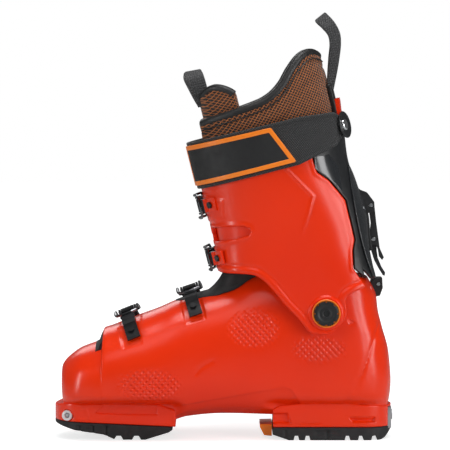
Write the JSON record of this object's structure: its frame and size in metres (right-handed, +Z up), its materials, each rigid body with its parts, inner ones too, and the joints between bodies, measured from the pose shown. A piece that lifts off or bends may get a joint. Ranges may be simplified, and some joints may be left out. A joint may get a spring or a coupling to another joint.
{
  "type": "alpine touring boot",
  "caption": "Alpine touring ski boot: hinged plastic cuff on a lower shell, soft liner, buckles with wire bails, power strap, walk lever and lugged soles.",
  "frame": {"origin": "on the ground in the middle plane, straight below the cuff pivots, on the underside of the heel sole", "axes": "+Z up, toe towards -X, medial side at -Y, buckle levers at +Y"},
  "size_m": [0.3064, 0.1165, 0.3865],
  "materials": {
    "shell_plastic": "glossy moulded polyurethane",
    "accent_plastic": "satin moulded plastic",
    "black_plastic": "fibre filled, satin to glossy",
    "sole_rubber": "matt moulded rubber",
    "buckle_metal": "black anodised",
    "mechanism_metal": "black powder coat",
    "bright_steel": "polished",
    "steel": "turned steel",
    "webbing": "woven nylon webbing",
    "strap_patch": "rubberised patch with a bright orange border",
    "liner_fabric": "open mesh over foam, black leather edging",
    "foam": "moulded foam"
  },
  "bodies": {
    "shell": {"toe_rack_rivet": "steel", "toe_rack": "buckle_metal", "toe_buckle_base": "buckle_metal", "toe_buckle_pin": "steel", "instep_rack_rivet": "steel", "instep_rack": "buckle_metal", "instep_buckle_base": "buckle_metal", "instep_buckle_pin": "steel", "lower_shell": "shell_plastic", "toe_sole": "sole_rubber", "heel_sole": "sole_rubber", "heel_wedge": "accent_plastic", "toe_insert": "steel", "heel_insert": "steel", "heel_insert_screw": "steel", "boot_board": "foam", "insole": "foam", "liner_foot": "liner_fabric", "throat_gaiter": "sole_rubber", "lock_strike": "mechanism_metal", "lock_strike_pin": "steel", "medial_pivot_nut": "steel", "lateral_pivot_nut": "steel"},
    "cuff": {"lower_cuff_rack_rivet": "steel", "lower_cuff_rack": "buckle_metal", "lower_cuff_buckle_base": "buckle_metal", "lower_cuff_buckle_pin": "steel", "upper_cuff_rack_rivet": "steel", "upper_cuff_rack": "buckle_metal", "upper_cuff_buckle_base": "buckle_metal", "upper_cuff_buckle_pin": "steel", "medial_pivot_ring": "accent_plastic", "medial_pivot_bolt": "black_plastic", "lateral_pivot_ring": "accent_plastic", "lateral_pivot_bolt": "black_plastic", "medial_strap_rivet": "bright_steel", "lateral_strap_rivet": "bright_steel", "cuff_shell": "shell_plastic", "cuff_flap": "shell_plastic", "spine": "black_plastic", "liner_cuff": "liner_fabric", "liner_tongue": "liner_fabric", "power_strap": "webbing", "strap_patch": "strap_patch", "walk_bracket": "mechanism_metal", "walk_lever_pin": "steel", "front_loop": "webbing", "rear_loop": "webbing", "rear_tab": "shell_plastic"},
    "walk_lever": {"walk_lever": "mechanism_metal", "lock_bar_pin": "steel"},
    "lock_bar": {"lock_bar": "mechanism_metal"},
    "toe_lever": {"toe_lever": "buckle_metal"},
    "toe_bail": {"toe_bail": "bright_steel"},
    "instep_lever": {"instep_lever": "buckle_metal"},
    "instep_bail": {"instep_bail": "bright_steel"},
    "lower_cuff_lever": {"lower_cuff_lever": "buckle_metal"},
    "lower_cuff_bail": {"lower_cuff_bail": "bright_steel"},
    "upper_cuff_lever": {"upper_cuff_lever": "buckle_metal"},
    "upper_cuff_bail": {"upper_cuff_bail": "bright_steel"}
  },
  "joints": [
    {"name": "cuff_hinge", "type": "hinge", "parent": "shell", "child": "cuff", "pos_m": [0, 0, 0.1162], "axis": [0, 1, 0], "range_deg": [-9, 20], "deforming": ["throat_gaiter"]},
    {"name": "walk_lever_hinge", "type": "hinge", "parent": "cuff", "child": "walk_lever", "pos_m": [0.0417, 0, 0.2109], "axis": [0, -1, 0], "range_deg": [0, 55]},
    {"name": "lock_bar_hinge", "type": "hinge", "parent": "walk_lever", "child": "lock_bar", "pos_m": [0.0444, 0, 0.18], "axis": [0, -1, 0], "range_deg": [-40, 0]},
    {"name": "toe_lever_hinge", "type": "hinge", "parent": "shell", "child": "toe_lever", "pos_m": [-0.17934, 0.0184, 0.11361], "axis": [0.9318, 0, 0.3629], "range_deg": [0, 110]},
    {"name": "toe_bail_hinge", "type": "hinge", "parent": "toe_lever", "child": "toe_bail", "pos_m": [-0.17827, 0.02672, 0.11087], "axis": [0.9318, 0, 0.3629], "range_deg": [-133, 0]},
    {"name": "instep_lever_hinge", "type": "hinge", "parent": "shell", "child": "instep_lever", "pos_m": [-0.12278, 0.01911, 0.13396], "axis": [0.9488, 0, 0.3159], "range_deg": [0, 110]},
    {"name": "instep_bail_hinge", "type": "hinge", "parent": "instep_lever", "child": "instep_bail", "pos_m": [-0.12144, 0.02775, 0.1299], "axis": [0.9488, 0, 0.3159], "range_deg": [-133, 0]},
    {"name": "lower_cuff_lever_hinge", "type": "hinge", "parent": "cuff", "child": "lower_cuff_lever", "pos_m": [-0.1044, 0.01821, 0.16231], "axis": [-0.2419, 0, 0.9703], "range_deg": [0, 110]},
    {"name": "lower_cuff_bail_hinge", "type": "hinge", "parent": "lower_cuff_lever", "child": "lower_cuff_bail", "pos_m": [-0.10156, 0.02677, 0.16302], "axis": [-0.2419, 0, 0.9703], "range_deg": [-133, 0]},
    {"name": "upper_cuff_lever_hinge", "type": "hinge", "parent": "cuff", "child": "upper_cuff_lever", "pos_m": [-0.11263, 0.01873, 0.20973], "axis": [-0.2419, 0, 0.9703], "range_deg": [0, 110]},
    {"name": "upper_cuff_bail_hinge", "type": "hinge", "parent": "upper_cuff_lever", "child": "upper_cuff_bail", "pos_m": [-0.10882, 0.02706, 0.21068], "axis": [-0.2419, 0, 0.9703], "range_deg": [-133, 0]}
  ],
  "couplings": [
    {"joint": "lock_bar_hinge", "follows": "walk_lever_hinge", "ratio": -0.7},
    {"joint": "toe_bail_hinge", "follows": "toe_lever_hinge", "ratio": -1.2},
    {"joint": "instep_bail_hinge", "follows": "instep_lever_hinge", "ratio": -1.2},
    {"joint": "lower_cuff_bail_hinge", "follows": "lower_cuff_lever_hinge", "ratio": -1.2},
    {"joint": "upper_cuff_bail_hinge", "follows": "upper_cuff_lever_hinge", "ratio": -1.2}
  ]
}
